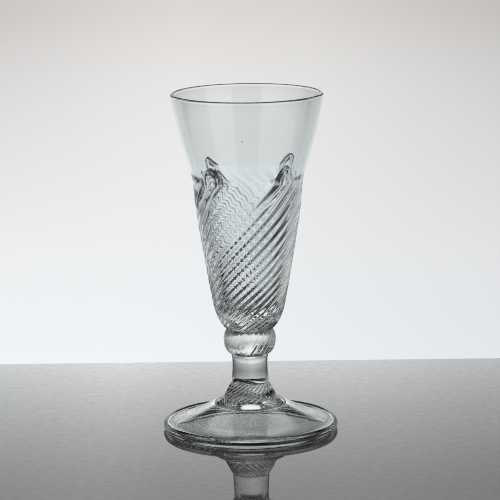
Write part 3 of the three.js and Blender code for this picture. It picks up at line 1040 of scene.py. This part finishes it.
def table_top():
    """The table: a slab whose far edge shows behind the glass."""
    sides = ((-1, TABLE_NEAR_EDGE), (1, TABLE_NEAR_EDGE), (1, TABLE_FAR_EDGE), (-1, TABLE_FAR_EDGE))
    points = [(side * TABLE_HALF_WIDTH, y, z) for z in (-TABLE_THICKNESS, 0) for side, y in sides]
    faces = [(3, 2, 1, 0), (4, 5, 6, 7)] + [(k, (k + 1) % 4, (k + 1) % 4 + 4, k + 4) for k in range(4)]
    mesh = bpy.data.meshes.new("table")
    mesh.from_pydata(points, [], faces)
    table = bpy.data.objects.new("table", mesh)
    bpy.context.collection.objects.link(table)
    table.data.materials.append(table_material())


def screen_level(nodes, links, azimuth, height):
    """How bright the studio is in each direction, as camera, glass and gloss see it."""

    def round_about(stops):
        return ramp_through(nodes, links, azimuth, stops, 180)

    def upward(stops):
        return ramp_through(nodes, links, height, stops, 90)

    beside = mixed(nodes, links, round_about(SCREEN_FAR), upward(SCREEN_UP_SIDES), upward(SCREEN_UP_FAR))
    at_height = mixed(nodes, links, round_about(SCREEN_MIDDLE), beside, upward(SCREEN_UP_MIDDLE))
    corners = product(nodes, links, round_about(CORNERS_ROUND), upward(CORNERS_UP))
    fall = arithmetic(nodes, links, "MULTIPLY_ADD", corners, -CORNERS_FALL, 1)
    screen = product(nodes, links, round_about(SCREEN_ROUND), at_height, fall)
    high_light = product(nodes, links, round_about(HIGH_LIGHT_ROUND), upward(HIGH_LIGHT_UP))
    level = arithmetic(nodes, links, "MAXIMUM", screen, high_light)
    return arithmetic(nodes, links, "MAXIMUM", level, DARK_LEVEL)


def screen_tint(nodes, links, height):
    """The colour of the screens: warmest just under the horizon."""
    tint = nodes.new("ShaderNodeMix")
    tint.data_type = "RGBA"
    links.new(ramp_through(nodes, links, height, SCREEN_WARMTH, 90), tint.inputs[0])
    tint.inputs[6].default_value = (*SCREEN_COOL, 1)
    tint.inputs[7].default_value = (*SCREEN_WARM, 1)
    return tint.outputs[2]


def studio_world():
    """A white screen behind the glass, brightest in the middle, and a softer one at each side of the front,
    with dark between them, as camera, glass and gloss see them. Matt surfaces are lit evenly."""
    world = bpy.data.worlds.new("studio")
    bpy.context.scene.world = world
    world.use_nodes = True
    nodes, links = world.node_tree.nodes, world.node_tree.links
    nodes.clear()
    place = nodes.new("ShaderNodeTexCoord")
    split = nodes.new("ShaderNodeSeparateXYZ")
    links.new(place.outputs["Generated"], split.inputs["Vector"])
    azimuth = arithmetic(nodes, links, "ARCTAN2", split.outputs["X"], split.outputs["Y"])
    height = arithmetic(nodes, links, "ARCSINE", split.outputs["Z"])
    level = screen_level(nodes, links, azimuth, height)
    path = nodes.new("ShaderNodeLightPath")
    seen = arithmetic(nodes, links, "MAXIMUM", path.outputs["Is Camera Ray"], path.outputs["Is Glossy Ray"])
    seen = arithmetic(nodes, links, "MAXIMUM", seen, path.outputs["Is Transmission Ray"])
    background = nodes.new("ShaderNodeBackground")
    links.new(screen_tint(nodes, links, height), background.inputs["Color"])
    links.new(mixed(nodes, links, seen, ROOM_LEVEL, level), background.inputs["Strength"])
    output = nodes.new("ShaderNodeOutputWorld")
    links.new(background.outputs["Background"], output.inputs["Surface"])


def softbox():
    """A soft light that the glass and the table don't mirror."""
    lamp = bpy.data.lights.new("left_softbox", "AREA")
    lamp.size = SOFTBOX_SIZE
    lamp.energy = SOFTBOX_POWER
    stand = bpy.data.objects.new("left_softbox", lamp)
    stand.location = SOFTBOX_PLACE
    stand.visible_glossy = stand.visible_transmission = False
    aim = Vector(SOFTBOX_AIM) - Vector(SOFTBOX_PLACE)
    stand.rotation_euler = aim.to_track_quat("-Z", "Y").to_euler()
    bpy.context.collection.objects.link(stand)


def camera():
    data = bpy.data.cameras.new("camera")
    data.lens = CAMERA_LENS
    data.sensor_width = CAMERA_SENSOR
    view = bpy.data.objects.new("camera", data)
    bpy.context.collection.objects.link(view)
    view.matrix_world = (
        Matrix.Translation((0, -CAMERA_DISTANCE, CAMERA_HEIGHT))
        @ Matrix.Rotation(math.radians(CAMERA_YAW), 4, "Z")
        @ Matrix.Rotation(math.radians(90 - CAMERA_PITCH), 4, "X")
        @ Matrix.Rotation(-math.radians(CAMERA_ROLL), 4, "Z")
    )
    bpy.context.scene.camera = view


clear = fused_material()
bowl_glass = glass_material("bowl_glass", BOWL_TINT, wear=0.02, tool_marks=0.15, seed=BOWL_SEED)
ribbed_glass = glass_material("ribbed_glass", RIBBED_TINT, wear=0.02, tool_marks=0.1)
foot_glass = glass_material("foot_glass", FOOT_TINT, wear=0.04, tool_marks=0.3)
snapped_glass = glass_material(
    "snapped_glass", SNAPPED_TINT, wear=0.2, tool_marks=1, roughness=0.35, ripple=1
)

for made, node_name, slot_name, material in (
    (bowl(), "bowl", "bowl_glass", bowl_glass),
    (wrythen_gather(), "wrythen_gather", "ribbed_glass", ribbed_glass),
    (knop(), "knop", "ribbed_glass", ribbed_glass),
    (stem(), "stem", "foot_glass", foot_glass),
    (collar(), "collar", "ribbed_glass", ribbed_glass),
    (foot(), "foot", "foot_glass", foot_glass),
    (foot_fold(), "foot_fold", "foot_glass", foot_glass),
    (pontil_mark(), "pontil_mark", "snapped_glass", snapped_glass),
):
    made.data.materials.append(material)
    made.data.materials.append(clear)
    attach(made, "root")
    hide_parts(node_name)

table_top()
studio_world()
softbox()
camera()

scene = bpy.context.scene
scene.view_settings.view_transform = "Standard"
scene.cycles.filter_width = 1.0
scene.cycles.max_bounces = 64
scene.cycles.transmission_bounces = 64
scene.cycles.glossy_bounces = 16
scene.cycles.transparent_max_bounces = 128
